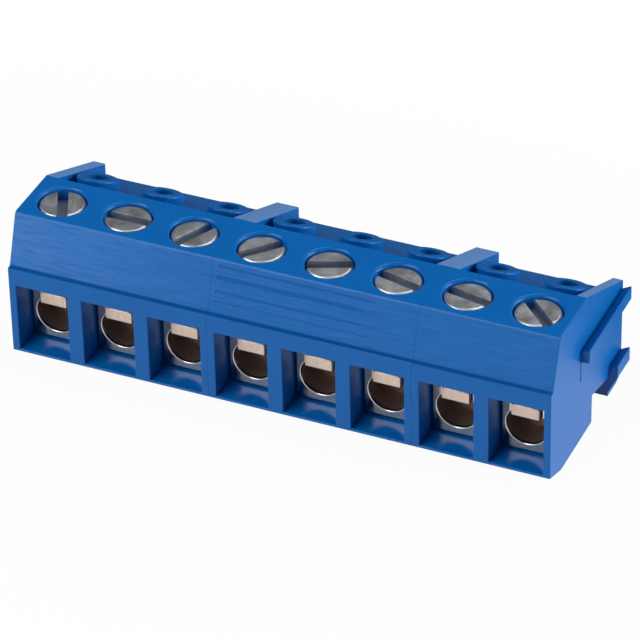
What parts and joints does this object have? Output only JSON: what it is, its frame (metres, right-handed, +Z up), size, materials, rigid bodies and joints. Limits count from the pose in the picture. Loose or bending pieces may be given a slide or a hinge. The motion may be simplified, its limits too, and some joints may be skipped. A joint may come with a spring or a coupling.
{
  "type": "pluggable screw terminal block",
  "caption": "Row-built plug-in screw terminal block: captive screws lift metal cages that clamp wires from the front, and sockets underneath take the pins of a board header.",
  "frame": {"origin": "centre of the bounding box at the face that stands on the board", "axes": "+X along the row of poles towards the hooks, +Y from the wire side to the rear, +Z up along the screws"},
  "size_m": [0.0412, 0.0138, 0.0114],
  "materials": {
    "housing_plastic": "moulded blue polyamide, satin",
    "screw_plating": "zinc-plated steel with fine turning marks",
    "cage_plating": "bright nickel plate",
    "contact_metal": "thin tin plate over copper alloy"
  },
  "bodies": {
    "housing": {"housing_left": "housing_plastic", "housing_middle": "housing_plastic", "housing_right": "housing_plastic", "contact_1": "contact_metal", "contact_2": "contact_metal", "contact_3": "contact_metal", "contact_4": "contact_metal", "contact_5": "contact_metal", "contact_6": "contact_metal", "contact_7": "contact_metal", "contact_8": "contact_metal"},
    "screw_1": {"clamp_screw_1": "screw_plating"},
    "cage_1": {"lift_cage_1": "cage_plating"},
    "screw_2": {"clamp_screw_2": "screw_plating"},
    "cage_2": {"lift_cage_2": "cage_plating"},
    "screw_3": {"clamp_screw_3": "screw_plating"},
    "cage_3": {"lift_cage_3": "cage_plating"},
    "screw_4": {"clamp_screw_4": "screw_plating"},
    "cage_4": {"lift_cage_4": "cage_plating"},
    "screw_5": {"clamp_screw_5": "screw_plating"},
    "cage_5": {"lift_cage_5": "cage_plating"},
    "screw_6": {"clamp_screw_6": "screw_plating"},
    "cage_6": {"lift_cage_6": "cage_plating"},
    "screw_7": {"clamp_screw_7": "screw_plating"},
    "cage_7": {"lift_cage_7": "cage_plating"},
    "screw_8": {"clamp_screw_8": "screw_plating"},
    "cage_8": {"lift_cage_8": "cage_plating"}
  },
  "joints": [
    {"name": "screw_turn_1", "type": "hinge", "parent": "housing", "child": "screw_1", "pos_m": [-0.01811, -0.00296, 0.0096], "axis": [0, 0, -1], "range_deg": [0, 1080]},
    {"name": "cage_lift_1", "type": "slide", "parent": "housing", "child": "cage_1", "axis": [0, 0, 1], "range_m": [0, 0.0015]},
    {"name": "screw_turn_2", "type": "hinge", "parent": "housing", "child": "screw_2", "pos_m": [-0.01303, -0.00296, 0.0096], "axis": [0, 0, -1], "range_deg": [0, 1080]},
    {"name": "cage_lift_2", "type": "slide", "parent": "housing", "child": "cage_2", "axis": [0, 0, 1], "range_m": [0, 0.0015]},
    {"name": "screw_turn_3", "type": "hinge", "parent": "housing", "child": "screw_3", "pos_m": [-0.00795, -0.00296, 0.0096], "axis": [0, 0, -1], "range_deg": [0, 1080]},
    {"name": "cage_lift_3", "type": "slide", "parent": "housing", "child": "cage_3", "axis": [0, 0, 1], "range_m": [0, 0.0015]},
    {"name": "screw_turn_4", "type": "hinge", "parent": "housing", "child": "screw_4", "pos_m": [-0.00287, -0.00296, 0.0096], "axis": [0, 0, -1], "range_deg": [0, 1080]},
    {"name": "cage_lift_4", "type": "slide", "parent": "housing", "child": "cage_4", "axis": [0, 0, 1], "range_m": [0, 0.0015]},
    {"name": "screw_turn_5", "type": "hinge", "parent": "housing", "child": "screw_5", "pos_m": [0.00221, -0.00296, 0.0096], "axis": [0, 0, -1], "range_deg": [0, 1080]},
    {"name": "cage_lift_5", "type": "slide", "parent": "housing", "child": "cage_5", "axis": [0, 0, 1], "range_m": [0, 0.0015]},
    {"name": "screw_turn_6", "type": "hinge", "parent": "housing", "child": "screw_6", "pos_m": [0.00729, -0.00296, 0.0096], "axis": [0, 0, -1], "range_deg": [0, 1080]},
    {"name": "cage_lift_6", "type": "slide", "parent": "housing", "child": "cage_6", "axis": [0, 0, 1], "range_m": [0, 0.0015]},
    {"name": "screw_turn_7", "type": "hinge", "parent": "housing", "child": "screw_7", "pos_m": [0.01237, -0.00296, 0.0096], "axis": [0, 0, -1], "range_deg": [0, 1080]},
    {"name": "cage_lift_7", "type": "slide", "parent": "housing", "child": "cage_7", "axis": [0, 0, 1], "range_m": [0, 0.0015]},
    {"name": "screw_turn_8", "type": "hinge", "parent": "housing", "child": "screw_8", "pos_m": [0.01745, -0.00296, 0.0096], "axis": [0, 0, -1], "range_deg": [0, 1080]},
    {"name": "cage_lift_8", "type": "slide", "parent": "housing", "child": "cage_8", "axis": [0, 0, 1], "range_m": [0, 0.0015]}
  ],
  "couplings": [
    {"joint": "screw_turn_1", "follows": "cage_lift_1", "rad_per_m": 12566},
    {"joint": "screw_turn_2", "follows": "cage_lift_2", "rad_per_m": 12566},
    {"joint": "screw_turn_3", "follows": "cage_lift_3", "rad_per_m": 12566},
    {"joint": "screw_turn_4", "follows": "cage_lift_4", "rad_per_m": 12566},
    {"joint": "screw_turn_5", "follows": "cage_lift_5", "rad_per_m": 12566},
    {"joint": "screw_turn_6", "follows": "cage_lift_6", "rad_per_m": 12566},
    {"joint": "screw_turn_7", "follows": "cage_lift_7", "rad_per_m": 12566},
    {"joint": "screw_turn_8", "follows": "cage_lift_8", "rad_per_m": 12566}
  ]
}
